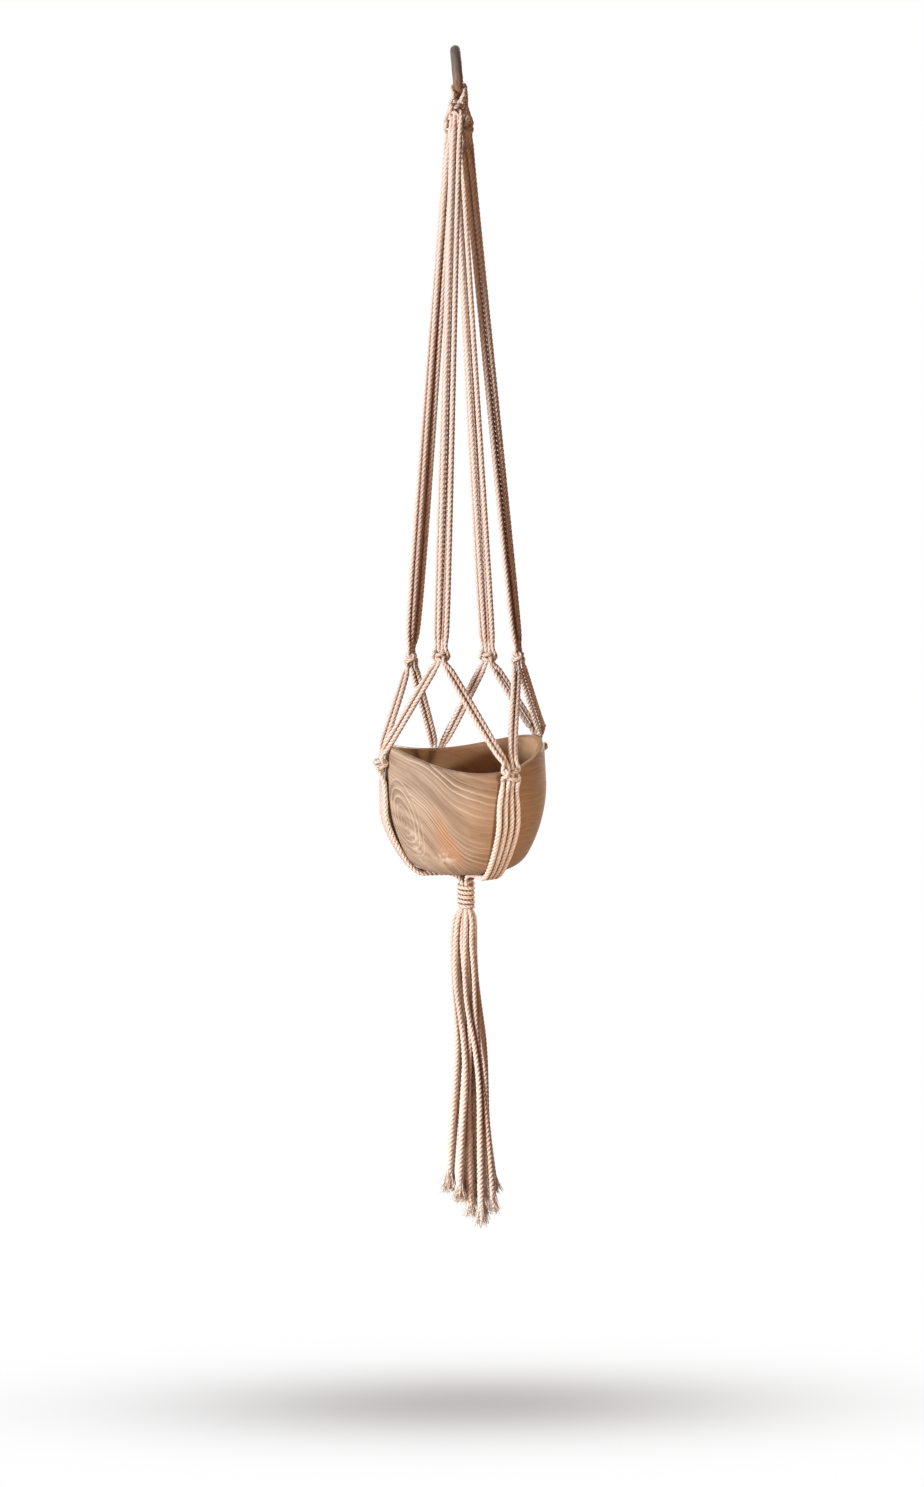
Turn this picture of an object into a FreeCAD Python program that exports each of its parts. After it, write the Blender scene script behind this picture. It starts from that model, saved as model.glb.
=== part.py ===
import FreeCAD, Part
import math
import os
from FreeCAD import Placement, Rotation, Vector

# Macrame plant hanger: a wooden ring, eight cords folded over it, four knotted legs,
# a net of cord pairs round a wooden bowl, a wrapped gather and a tassel.
# The hook seat, on the inside of the ring at its top, is the origin. Lengths are millimetres,
# and a drop is a distance below the hook seat.

SIZES = [
    ("ring_radius", 20.5, "wooden ring, centre line of the rod"),
    ("ring_rod", 9.0, "wooden ring, rod diameter"),
    ("ring_lean", 5.0, "wooden ring, lean to the side in degrees"),
    ("cord", 5.0, "cotton cord diameter"),
    ("cord_gap", 0.3, "gap between cords side by side"),
    ("loop_cord", 3.6, "cord width where eight loops crowd the ring"),
    ("loop_step", 15.5, "angle from loop to loop round the ring"),
    ("loop_tail", 9.0, "straight of a loop beside the rod before it turns to its knot"),
    ("running_gap", 0.3, "clearance between pieces that move"),
    ("seat_gap", 0.5, "clearance between the bowl and what holds it"),
    ("knot_bite", 1.5, "length of cord that runs into a knot"),
    ("top_knot_width", 13.0, "top knot, side to side"),
    ("top_knot_depth", 10.0, "top knot, front to back"),
    ("top_knot_height", 14.0, "top knot, height"),
    ("net_knot_width", 18.0, "upper and lower knots, along the net"),
    ("net_knot_depth", 11.0, "upper and lower knots, through the net"),
    ("net_knot_height", 18.0, "upper and lower knots, height"),
    ("knot_round", 3.5, "rounding of every knot"),
    ("upper_knot_radius", 51.0, "upper knots, distance from the hanger's axis"),
    ("net_start", 9.5, "distance from a knot's middle to where its net cords begin"),
    ("net_spread", 3.0, "distance of a net pair from the middle of its lower knot"),
    ("rim_pass_rise", 3.0, "height above the high rim at which a net cord passes it"),
    ("rim_pass_gap", 4.0, "clearance of a net cord past the high rim"),
    ("rim_radius", 70.5, "bowl, outside radius at the highest rim"),
    ("belly_radius", 72.5, "bowl, largest outside radius"),
    ("belly_height", 77.0, "bowl, height of its widest place above its foot"),
    ("low_rim_height", 97.0, "bowl, height of the lowest rim above its foot"),
    ("rim_dip", 19.0, "bowl, height of the high rim above the low rim"),
    ("rim_turn", 72.0, "bowl, direction of the low rim in degrees"),
    ("side_arc", 130.0, "bowl, radius of the side below the belly"),
    ("foot_arc", 28.0, "bowl, radius of the corner between side and foot"),
    ("bowl_wall", 7.0, "bowl, wall and floor thickness"),
    ("rim_round", 2.0, "bowl, rounding of the rim's edges"),
    ("bowl_drop", 709.0, "bowl, drop of the foot"),
    ("hub_radius", 18.0, "gather, radius where the cradle cords meet"),
    ("hub_height", 5.2, "gather, height of that meeting"),
    ("cradle_end", 14.0, "cradle cords, distance of their ends from the axis"),
    ("neck_radius", 5.4, "gather, radius of the bound cords"),
    ("wrap_cord", 3.6, "wrapping cord diameter"),
    ("wrap_turns", 5.0, "turns of the wrapping cord"),
    ("wrap_pitch", 4.2, "rise from turn to turn"),
    ("wrap_gap", 0.1, "gap between the wrapping and the bound cords"),
    ("wrap_drop", 722.5, "drop of the wrapping's top"),
    ("tassel_neck_length", 30.0, "tassel, length in which the cords spread from the wrapping"),
    ("tassel_pitch", 5.25, "tassel, spacing of the cords at its top"),
    ("tassel_first_run", 58.0, "tassel, length of a cord's first run"),
    ("tassel_second_run", 60.0, "tassel, length of a cord's second run"),
]

# Each leg: ring angle of its two loops in loop steps (negative to the front), top knot offset
# from the axis and drop, direction and drop of its upper knot.
LEGS = {
    "a": {"loops": (3.5, 2.5), "top": (-8.5, 20.0, 58.0), "turn": -158.0, "drop": 522.0},
    "b": {"loops": (-3.5, -2.5), "top": (-3.0, -19.0, 55.0), "turn": 112.0, "drop": 511.0},
    "c": {"loops": (1.5, 0.5), "top": (-2.5, 7.0, 63.0), "turn": -68.0, "drop": 525.0},
    "d": {"loops": (-1.5, -0.5), "top": (6.0, -7.0, 60.0), "turn": 22.0, "drop": 516.0},
}

# Each lower knot: direction and drop, and the two legs whose net cords meet there.
CORNERS = {
    "left": {"turn": 157.0, "drop": 610.5, "legs": ("a", "b"), "past_rim": True},
    "front": {"turn": 60.0, "drop": 612.5, "legs": ("b", "d"), "past_rim": False},
    "right": {"turn": -23.0, "drop": 606.0, "legs": ("d", "c"), "past_rim": True},
    "back": {"turn": -113.0, "drop": 614.0, "legs": ("c", "a"), "past_rim": False},
}

# Each tassel cord: distance from the middle in pitches, direction, drop of its end.
ROOT3 = math.sqrt(3.0)
TASSEL = {
    "left": [(1.0, 180.0, 1018.0), (ROOT3, 150.0, 1008.0), (ROOT3, 210.0, 1014.0), (2.0, 180.0, 1006.0)],
    "front": [(1.0, 240.0, 1036.0), (ROOT3, 270.0, 1042.0), (1.0, 300.0, 1038.0), (2.0, 300.0, 1030.0)],
    "right": [(1.0, 0.0, 1024.0), (ROOT3, 330.0, 1012.0), (ROOT3, 30.0, 1004.0), (0.0, 0.0, 1032.0)],
    "back": [(1.0, 60.0, 1026.0), (ROOT3, 90.0, 1020.0), (1.0, 120.0, 1028.0), (2.0, 60.0, 1010.0)],
}
TASSEL_SPREAD = [1.0, 1.02, 1.12, 1.5, 2.0]
TASSEL_TWIST = [0.0, 5.0, 12.0, 17.0, 20.0]
TASSEL_DRIFT = [0.0, 0.4, 2.6, 4.4, 4.8]

doc = FreeCAD.newDocument("PlantHanger")
sheet = doc.addObject("Spreadsheet::Sheet", "Sizes")
for row, (alias, value, note) in enumerate(SIZES, start=1):
    sheet.set("A%d" % row, note)
    sheet.set("B%d" % row, str(value))
    sheet.setAlias("B%d" % row, alias)
doc.recompute()
nodes = {}


def size(alias):
    return float(sheet.get(alias))


lean = math.radians(size("ring_lean"))
ring_up = Vector(-math.sin(lean), 0, math.cos(lean))
ring_axis = Vector(math.cos(lean), 0, math.sin(lean))
ring_centre = ring_up * (size("ring_rod") / 2 - size("ring_radius"))
axis_x = (ring_centre - ring_up * size("ring_radius")).x
cord_pitch = size("cord") + size("cord_gap")


def around(radius, turn, drop):
    # A point at a radius and a direction round the hanger's axis, with 90 degrees to the front.
    angle = math.radians(turn)
    return Vector(axis_x + radius * math.cos(angle), -radius * math.sin(angle), -drop)


def unit(vector):
    return Vector(vector).normalize()


def arc_in_corner(start, corner, end):
    # The arc that touches both sides of a corner at two points equally far from it.
    middle = (start + end) * 0.5
    half_chord = (end - start).Length / 2
    half_turn = math.acos(min(1.0, half_chord / (corner - start).Length))
    sagitta = half_chord * math.tan(half_turn / 2)
    return Part.Arc(start, middle + unit(corner - middle) * sagitta, end)


def route_edges(points, share=0.45):
    # Straight runs joined by tangent arcs as large as the shorter run allows.
    edges = []
    radii = []
    last = points[0]
    for before, corner, after in zip(points, points[1:], points[2:]):
        inward = unit(corner - before)
        outward = unit(after - corner)
        reach = share * min((corner - before).Length, (after - corner).Length)
        start = corner - inward * reach
        end = corner + outward * reach
        edges.append(Part.LineSegment(last, start).toShape())
        edges.append(arc_in_corner(start, corner, end).toShape())
        radii.append(reach / math.tan(inward.getAngle(outward) / 2))
        last = end
    edges.append(Part.LineSegment(last, points[-1]).toShape())
    return edges, radii


def tube(edges, diameter):
    path = Part.Wire(edges)
    first = edges[0]
    start = first.valueAt(first.FirstParameter)
    section = Part.Wire(Part.makeCircle(diameter / 2, start, first.tangentAt(first.FirstParameter)))
    solid = path.makePipeShell([section], True, False)
    expected = math.pi * diameter ** 2 / 4 * path.Length
    if abs(solid.Volume / expected - 1) > 0.01:
        raise ValueError("a tube has volume %.1f where %.1f is due" % (solid.Volume, expected))
    return solid


def add_solids(label, solids):
    node = doc.addObject("Part::Feature", label)
    node.Shape = solids[0] if len(solids) == 1 else Part.makeCompound(solids)
    node.Label = label
    nodes[label] = node
    return node


def add_knot(label, kind, centre, turn):
    # A tied knot as a rounded block, its width across the direction that it faces.
    block = doc.addObject("Part::Box", label + "_block")
    block.setExpression("Length", "Sizes.%s_width" % kind)
    block.setExpression("Width", "Sizes.%s_depth" % kind)
    block.setExpression("Height", "Sizes.%s_height" % kind)
    half = Vector(size(kind + "_width"), size(kind + "_depth"), size(kind + "_height")) * 0.5
    facing = Rotation(Vector(0, 0, 1), 90 - turn)
    block.Placement = Placement(centre - facing.multVec(half), facing)
    doc.recompute()
    knot = doc.addObject("Part::Fillet", label)
    knot.Base = block
    rounding = size("knot_round")
    knot.Edges = [(edge, rounding, rounding) for edge in range(1, len(block.Shape.Edges) + 1)]
    knot.Label = label
    nodes[label] = knot


# Wooden ring
ring = doc.addObject("Part::Torus", "hanging_ring")
ring.setExpression("Radius1", "Sizes.ring_radius")
ring.setExpression("Radius2", "Sizes.ring_rod / 2")
ring.Placement = Placement(ring_centre, Rotation(Vector(0, 0, 1), ring_axis))
ring.Label = "hanging_ring"
nodes["hanging_ring"] = ring


# Loops over the ring, two for each leg, from the leg's top knot round the rod and back
def square_offsets(pitch, turn=0.0):
    # Places of four cords in a square bundle.
    angle = math.radians(turn)
    across = Vector(math.cos(angle), -math.sin(angle), 0) * (pitch / 2)
    along = Vector(math.sin(angle), math.cos(angle), 0) * (pitch / 2)
    return [across * i + along * j for i, j in ((-1, -1), (1, -1), (-1, 1), (1, 1))]


def top_knot_centre(leg):
    x, y, drop = leg["top"]
    return Vector(axis_x + x, y, -drop)


loop_radius = size("ring_rod") / 2 + size("running_gap") + size("loop_cord") / 2
for name, leg in LEGS.items():
    entry = top_knot_centre(leg) + Vector(0, 0, size("top_knot_height") / 2)
    loops = []
    for step in leg["loops"]:
        angle = math.radians(step * size("loop_step"))
        outward = Vector(0, math.sin(angle), 0) - ring_up * math.cos(angle)
        rod = ring_centre + outward * size("ring_radius")
        depth = math.copysign(cord_pitch / 2, step) * (1 if step == leg["loops"][0] else -1)
        tails = []
        for side in (-1, 1):
            beside = rod + ring_axis * (side * loop_radius)
            turn = beside + outward * size("loop_tail")
            end = entry + Vector(side * cord_pitch / 2, depth, 0)
            slant = (turn - end).getAngle(Vector(0, 0, 1))
            end += Vector(0, 0, size("running_gap") + size("loop_cord") / 2 * math.sin(slant))
            tails.append(route_edges([beside, turn, end]))
        over = Part.Arc(
            rod - ring_axis * loop_radius, rod - outward * loop_radius, rod + ring_axis * loop_radius
        ).toShape()
        (left, left_radii), (right, right_radii) = tails
        loops.append(tube(Part.__sortEdges__(left + [over] + right), size("loop_cord")))
        print("ring loop, leg", name, "bends", [round(r, 1) for r in left_radii + right_radii])
    add_solids("ring_loops_" + name, loops)
    add_knot("top_knot_" + name, "top_knot", top_knot_centre(leg), 90.0)


# Leg cords, four side by side and pulled straight between the top and upper knots
def upper_knot_centre(leg):
    return around(size("upper_knot_radius"), leg["turn"], leg["drop"])


for name, leg in LEGS.items():
    down = Vector(0, 0, -1)
    top = top_knot_centre(leg) + down * (size("top_knot_height") / 2 - size("knot_bite"))
    bottom = upper_knot_centre(leg) - down * (size("net_knot_height") / 2 - size("knot_bite"))
    run = bottom - top
    cords = []
    for index, offset in enumerate(square_offsets(cord_pitch, leg["turn"])):
        cord = doc.addObject("Part::Cylinder", "leg_cord_%s_%d" % (name, index + 1))
        cord.setExpression("Radius", "Sizes.cord / 2")
        cord.Height = run.Length
        cord.Placement = Placement(top + offset, Rotation(Vector(0, 0, 1), run))
        cords.append(cord)
    bundle = doc.addObject("Part::Compound", "leg_cords_" + name)
    bundle.Links = cords
    bundle.Label = "leg_cords_" + name
    nodes[bundle.Label] = bundle
    add_knot("upper_knot_" + name, "net_knot", upper_knot_centre(leg), leg["turn"])
    print("leg", name, "cords", round(run.Length, 1), "long")


# Bowl, turned with a rounded foot and a rim that dips at the front and back
foot_z = -size("bowl_drop")
belly_z = foot_z + size("belly_height")
rim_z = foot_z + size("low_rim_height") + size("rim_dip")
side_centre = Vector(size("belly_radius") - size("side_arc"), 0, belly_z)
foot_centre_z = foot_z + size("foot_arc")
foot_reach = size("side_arc") - size("foot_arc")
foot_centre = Vector(
    side_centre.x + math.sqrt(foot_reach ** 2 - (belly_z - foot_centre_z) ** 2), 0, foot_centre_z
)
side_to_foot = unit(foot_centre - side_centre)


def bowl_side(offset):
    # The two arcs of the bowl's side, from the belly to the foot, at a distance outside it.
    side_radius = size("side_arc") + offset
    foot_radius = size("foot_arc") + offset
    belly = side_centre + Vector(side_radius, 0, 0)
    half_way = unit(Vector(1, 0, 0) + side_to_foot)
    corner = foot_centre + side_to_foot * foot_radius
    foot_half_way = unit(side_to_foot + Vector(0, 0, -1))
    foot = foot_centre - Vector(0, 0, foot_radius)
    side = Part.Arc(belly, side_centre + half_way * side_radius, corner)
    turn_in = Part.Arc(corner, foot_centre + foot_half_way * foot_radius, foot)
    return belly, foot, [side.toShape(), turn_in.toShape()]


trim_height = 6.0
wall = size("bowl_wall")
outer_belly, outer_foot, outer_side = bowl_side(0.0)
inner_belly, inner_foot, inner_side = bowl_side(-wall)
rise = rim_z + trim_height - belly_z
taper = (size("belly_radius") - size("rim_radius")) / (rim_z - belly_z) * rise
outer_rim = outer_belly + Vector(-taper, 0, rise)
inner_rim = inner_belly + Vector(-taper, 0, rise)
corners = [inner_belly, inner_rim, outer_rim, outer_belly]
floor_corners = [outer_foot, Vector(0, 0, outer_foot.z), Vector(0, 0, inner_foot.z), inner_foot]
straight = [Part.LineSegment(a, b).toShape() for a, b in zip(corners, corners[1:])]
straight += [Part.LineSegment(a, b).toShape() for a, b in zip(floor_corners, floor_corners[1:])]
profile = doc.addObject("Part::Feature", "bowl_profile")
profile.Shape = Part.Wire(Part.__sortEdges__(straight + outer_side + inner_side))
profile.Placement = Placement(Vector(axis_x, 0, 0), Rotation())
blank = doc.addObject("Part::Revolution", "bowl_blank")
blank.Source = profile
blank.Axis = Vector(0, 0, 1)
blank.Base = Vector(axis_x, 0, 0)
blank.Angle = 360.0
blank.Solid = True

dip = doc.addObject("Part::Cylinder", "rim_dip")
dip.setExpression(
    "Radius",
    "(Sizes.rim_radius * Sizes.rim_radius + Sizes.rim_dip * Sizes.rim_dip) / (2 * Sizes.rim_dip)",
)
dip.setExpression("Height", "4 * Sizes.belly_radius")
doc.recompute()
low_way = around(1.0, size("rim_turn"), 0) - around(0.0, 0, 0)
dip_centre = Vector(axis_x, 0, foot_z + size("low_rim_height") + dip.Radius.Value)
dip.Placement = Placement(
    dip_centre - low_way * (dip.Height.Value / 2), Rotation(Vector(0, 0, 1), low_way)
)
cut = doc.addObject("Part::Cut", "bowl_cut")
cut.Base = blank
cut.Tool = dip
doc.recompute()
rim_face = max(cut.Shape.Faces, key=lambda face: face.CenterOfMass.z)
rounding = size("rim_round")
bowl = doc.addObject("Part::Fillet", "bowl")
bowl.Base = cut
bowl.Edges = [
    (index, rounding, rounding)
    for index, edge in enumerate(cut.Shape.Edges, start=1)
    if any(edge.isSame(rim_edge) for rim_edge in rim_face.Edges)
]
bowl.Label = "bowl"
nodes["bowl"] = bowl


# Lower knots against the bowl, and the net cords that come down to them in pairs
def lower_knot_centre(corner):
    radius = size("belly_radius") + size("seat_gap") + size("net_knot_depth") / 2
    return around(radius, corner["turn"], corner["drop"])


for place, corner in CORNERS.items():
    middle = lower_knot_centre(corner)
    add_knot("lower_knot_" + place, "net_knot", middle, corner["turn"])
    along = around(1.0, corner["turn"] + 90, 0) - around(0.0, 0, 0)
    for name in corner["legs"]:
        high = upper_knot_centre(LEGS[name])
        low = middle + along * math.copysign(size("net_spread"), (high - middle).dot(along))
        line = [high, low]
        if corner["past_rim"]:
            share = (high.z - rim_z - size("rim_pass_rise")) / (high.z - low.z)
            passing = high + (low - high) * share
            flat = Vector(passing.x - axis_x, passing.y, 0)
            outside = size("rim_radius") + size("rim_pass_gap") + size("cord") / 2
            line.insert(1, passing + unit(flat) * (outside - flat.Length))
        line[0] = high + unit(line[1] - high) * size("net_start")
        line[-1] = low - unit(low - line[-2]) * size("net_start")
        facing = Vector((high + low).x / 2 - axis_x, (high + low).y / 2, 0)
        aside = unit((low - high).cross(facing)) * (cord_pitch / 2)
        pair = []
        for side in (-1, 1):
            edges, radii = route_edges([point + aside * side for point in line])
            pair.append(tube(edges, size("cord")))
            if radii:
                print("net cord", name, place, "bend", round(radii[0], 1))
        add_solids("net_cords_%s_%s" % (name, place), pair)

# Cradle cords, four from each lower knot, down the bowl and under it to the gather
lay = size("seat_gap") + size("cord") / 2
cradle_belly, cradle_foot, cradle_side = bowl_side(lay)
for place, corner in CORNERS.items():
    start_z = -corner["drop"] - size("net_knot_height") / 2 + size("knot_bite")
    start = Vector(cradle_belly.x, 0, start_z)
    end = Vector(size("cradle_end"), 0, cradle_foot.z)
    path = [Part.LineSegment(start, cradle_belly).toShape()]
    path += cradle_side
    path.append(Part.LineSegment(cradle_foot, end).toShape())
    strand = tube(path, size("cord"))
    strands = []
    for step in (-1.5, -0.5, 0.5, 1.5):
        cord = strand.copy()
        cord.translate(Vector(0, step * cord_pitch, 0))
        cord.rotate(Vector(0, 0, 0), Vector(0, 0, 1), -corner["turn"])
        cord.translate(Vector(axis_x, 0, 0))
        strands.append(cord)
    add_solids("cradle_cords_" + place, strands)
    print("cradle cord", place, round(Part.Wire(path).Length, 1), "long, bends",
          size("foot_arc") + lay, size("side_arc") + lay)

# Gather: the cords meet in a hub under the bowl and are bound in a neck
hub_z = cradle_foot.z + size("hub_height") / 2
neck_top_z = -size("wrap_drop")
wrap_length = size("wrap_turns") * size("wrap_pitch") + size("wrap_cord")
neck_end_z = neck_top_z - wrap_length
outline = [
    Vector(0, 0, hub_z),
    Vector(size("hub_radius"), 0, hub_z),
    Vector(size("hub_radius"), 0, hub_z - size("hub_height")),
    Vector(size("neck_radius"), 0, neck_top_z),
    Vector(size("neck_radius"), 0, neck_end_z),
    Vector(0, 0, neck_end_z),
    Vector(0, 0, hub_z),
]
core_outline = doc.addObject("Part::Feature", "gather_outline")
core_outline.Shape = Part.makePolygon(outline)
core_outline.Placement = Placement(Vector(axis_x, 0, 0), Rotation())
core = doc.addObject("Part::Revolution", "gather_core")
core.Source = core_outline
core.Axis = Vector(0, 0, 1)
core.Base = Vector(axis_x, 0, 0)
core.Angle = 360.0
core.Solid = True
core.Label = "gather_core"
nodes["gather_core"] = core

# Wrapping cord, one unbroken tube wound round the bound cords
wrap_radius = size("neck_radius") + size("wrap_gap") + size("wrap_cord") / 2
wrap_top_z = neck_top_z - size("wrap_cord") / 2


def on_wrap(quarter):
    # Place and direction of the wrapping after a number of quarter turns.
    angle = quarter * math.pi / 2
    place = Vector(
        axis_x + wrap_radius * math.cos(angle),
        wrap_radius * math.sin(angle),
        wrap_top_z - size("wrap_pitch") * quarter / 4,
    )
    direction = Vector(
        -wrap_radius * math.sin(angle), wrap_radius * math.cos(angle), -size("wrap_pitch") / (2 * math.pi)
    )
    return place, unit(direction)


def biarc(start, start_way, end, end_way):
    # Two arcs that leave one point and reach another in given directions and meet smoothly.
    across = end - start
    both = start_way + end_way
    spread = 2 * (1 - start_way.dot(end_way))
    lead = across.dot(both)
    reach = (math.sqrt(lead ** 2 + spread * across.dot(across)) - lead) / spread
    first = start + start_way * reach
    second = end - end_way * reach
    joint = (first + second) * 0.5
    return [arc_in_corner(start, first, joint).toShape(), arc_in_corner(joint, second, end).toShape()]


quarters = int(round(size("wrap_turns") * 4))
first_place, first_way = on_wrap(0)
last_place, last_way = on_wrap(quarters)
winding = [Part.LineSegment(first_place - first_way * size("wrap_cord"), first_place).toShape()]
for quarter in range(quarters):
    winding += biarc(*on_wrap(quarter), *on_wrap(quarter + 1))
winding.append(Part.LineSegment(last_place, last_place + last_way * size("wrap_cord")).toShape())
add_solids("gather_wrap", [tube(winding, size("wrap_cord"))])
wound = Part.Wire(winding)
marks = wound.discretize(Number=400)
half_turn = math.pi * wrap_radius
spacing = wound.Length / (len(marks) - 1)
apart = int(half_turn / spacing)
least = min(
    (marks[i] - marks[j]).Length for i in range(len(marks)) for j in range(i + apart, len(marks))
)
print("wrapping least gap", round(least - size("wrap_cord"), 2), "length", round(wound.Length, 1))

# Tassel: the cords spread below the wrapping and hang to uneven ends
tassel_top_z = neck_end_z - size("running_gap")
tassel_neck = doc.addObject("Part::Cone", "tassel_neck")
tassel_neck.setExpression("Radius1", "2 * Sizes.tassel_pitch + Sizes.cord / 2")
tassel_neck.setExpression("Radius2", "Sizes.neck_radius")
tassel_neck.setExpression("Height", "Sizes.tassel_neck_length")
strand_top_z = tassel_top_z - size("tassel_neck_length")
tassel_neck.Placement = Placement(Vector(axis_x, 0, strand_top_z), Rotation())
tassel_neck.Label = "tassel_neck"
nodes["tassel_neck"] = tassel_neck


def tassel_route(reach, turn, end_drop):
    first_z = strand_top_z + size("knot_bite")
    second_z = first_z - size("tassel_first_run")
    third_z = second_z - size("tassel_second_run")
    levels = [first_z, second_z, third_z, (third_z - end_drop) / 2, -end_drop]
    points = []
    for z, spread, twist, drift in zip(levels, TASSEL_SPREAD, TASSEL_TWIST, TASSEL_DRIFT):
        angle = math.radians(turn + twist)
        radius = reach * size("tassel_pitch") * spread
        x = axis_x + drift + radius * math.cos(angle)
        points.append(Vector(x, radius * math.sin(angle), z))
    return points


for place, cords in TASSEL.items():
    strands = []
    for reach, turn, end_drop in cords:
        edges, radii = route_edges(tassel_route(reach, turn, end_drop))
        strands.append(tube(edges, size("cord")))
        print("tassel cord", place, round(Part.Wire(edges).Length, 1), "long, bends",
              [round(r) for r in radii])
    add_solids("tassel_cords_" + place, strands)

doc.recompute()
for thing in doc.Objects:
    if "Invalid" in thing.State or "Error" in thing.State:
        raise RuntimeError("%s did not build" % thing.Label)
for label, node in nodes.items():
    if node.Shape.isNull() or not node.Shape.isValid() or not node.Shape.Solids:
        raise RuntimeError("%s has no valid solid" % label)

os.makedirs("parts", exist_ok=True)
for label, node in nodes.items():
    node.Shape.exportStep(os.path.join("parts", label + ".step"))
print(len(nodes), "nodes,", sum(len(node.Shape.Solids) for node in nodes.values()), "solids")
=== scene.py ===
import math
import bpy
import numpy as np
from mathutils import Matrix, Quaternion, Vector
from mathutils.kdtree import KDTree


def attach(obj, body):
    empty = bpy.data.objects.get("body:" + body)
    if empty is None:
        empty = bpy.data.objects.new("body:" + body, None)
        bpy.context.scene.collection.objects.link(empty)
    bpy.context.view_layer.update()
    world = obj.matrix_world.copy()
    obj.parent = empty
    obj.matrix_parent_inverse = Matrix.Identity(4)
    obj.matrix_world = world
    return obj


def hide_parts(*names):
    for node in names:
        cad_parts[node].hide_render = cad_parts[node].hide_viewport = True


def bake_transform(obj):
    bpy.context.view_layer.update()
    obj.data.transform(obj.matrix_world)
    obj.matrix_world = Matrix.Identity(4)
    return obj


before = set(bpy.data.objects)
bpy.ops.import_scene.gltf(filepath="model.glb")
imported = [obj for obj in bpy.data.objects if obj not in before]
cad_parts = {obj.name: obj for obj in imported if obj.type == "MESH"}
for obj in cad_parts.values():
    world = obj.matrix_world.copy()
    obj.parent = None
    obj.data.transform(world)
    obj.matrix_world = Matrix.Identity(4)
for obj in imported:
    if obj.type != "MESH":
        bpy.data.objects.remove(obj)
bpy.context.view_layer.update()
scene = bpy.context.scene
mm = 0.001
axisX = 3.181
print("stage: frame loaded")

# Camera: the photograph's view, slightly from above, with the hanger leaning a little to the left
camera = {
    "aim": (0.0007, 0.0, -0.5967), "elevation": 10.0, "distance": 2.6, "roll": -0.45,
    "lens": 47.14, "sensor": 24.0,
}


def addCamera(setting):
    lens = bpy.data.cameras.new("camera")
    lens.sensor_fit = "VERTICAL"
    lens.sensor_height = setting["sensor"]
    lens.lens = setting["lens"]
    holder = bpy.data.objects.new("camera", lens)
    scene.collection.objects.link(holder)
    tilt = math.radians(setting["elevation"])
    back = Vector((0.0, -math.cos(tilt), math.sin(tilt)))
    holder.location = Vector(setting["aim"]) + back * setting["distance"]
    turn = (-back).to_track_quat("-Z", "Y")
    holder.rotation_mode = "QUATERNION"
    holder.rotation_quaternion = turn @ Quaternion((0, 0, 1), math.radians(setting["roll"]))
    scene.camera = holder


addCamera(camera)
scene.view_settings.view_transform = "Standard"
print("stage: camera")


# Node helpers for the procedural materials
def newMaterial(name):
    material = bpy.data.materials.new(name)
    material.use_nodes = True
    tree = material.node_tree
    return material, tree, tree.nodes["Principled BSDF"]


def addNode(tree, kind, settings=None, **inputs):
    node = tree.nodes.new(kind)
    for key, value in (settings or {}).items():
        setattr(node, key, value)
    for key, value in inputs.items():
        socket = node.inputs[int(key[1:])] if key[0] == "i" and key[1:].isdigit() else node.inputs[key]
        if isinstance(value, bpy.types.NodeSocket):
            tree.links.new(value, socket)
        else:
            socket.default_value = value
    return node


def mathNode(tree, operation, first, second=0.5, third=0.5):
    node = addNode(tree, "ShaderNodeMath", {"operation": operation}, i0=first, i1=second, i2=third)
    return node.outputs[0]


def scaled(tree, value, factor):
    return mathNode(tree, "MULTIPLY", value, factor)


def joined(tree, x, y, z):
    return addNode(tree, "ShaderNodeCombineXYZ", X=x, Y=y, Z=z).outputs[0]


def noise(tree, place, scale, detail, **more):
    node = addNode(tree, "ShaderNodeTexNoise", Vector=place, Scale=scale, Detail=detail, **more)
    return node.outputs["Fac"]


def between(tree, value, low, high):
    node = addNode(tree, "ShaderNodeMapRange", {"interpolation_type": "SMOOTHSTEP"},
                   i0=value, i1=low, i2=high)
    return node.outputs[0]


def grey(level):
    return (level, level, level)


def ramp(tree, value, stops):
    node = addNode(tree, "ShaderNodeValToRGB", i0=value)
    band = node.color_ramp
    while len(band.elements) < len(stops):
        band.elements.new(0.5)
    for element, (place, colour) in zip(band.elements, stops):
        element.position = place
        element.color = (*colour, 1.0)
    return node.outputs["Color"]


def mixColour(tree, factor, first, second, blend="MIX"):
    node = addNode(tree, "ShaderNodeMix", {"data_type": "RGBA", "blend_type": blend})
    for socket, value in ((node.inputs[0], factor), (node.inputs[6], first), (node.inputs[7], second)):
        if isinstance(value, bpy.types.NodeSocket):
            tree.links.new(value, socket)
        else:
            socket.default_value = value if isinstance(value, float) else (*value, 1.0)
    return node.outputs[2]


# Cotton: three laid strands, fibres nearly in line with the cord, with painted shade, darker and warmer, in
# the grooves
cotton = {
    "crown": (0.88, 0.812, 0.74), "grooveShade": (0.60, 0.37, 0.25), "blush": (0.87, 0.725, 0.60),
    "creaseShade": (0.27, 0.105, 0.05), "thread": (0.86, 0.82, 0.79),
    "roughness": 0.95, "sheen": 0.04, "specular": 0.05, "fibreLines": 5.0, "bump": 0.35, "relief": 0.0004,
}


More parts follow.
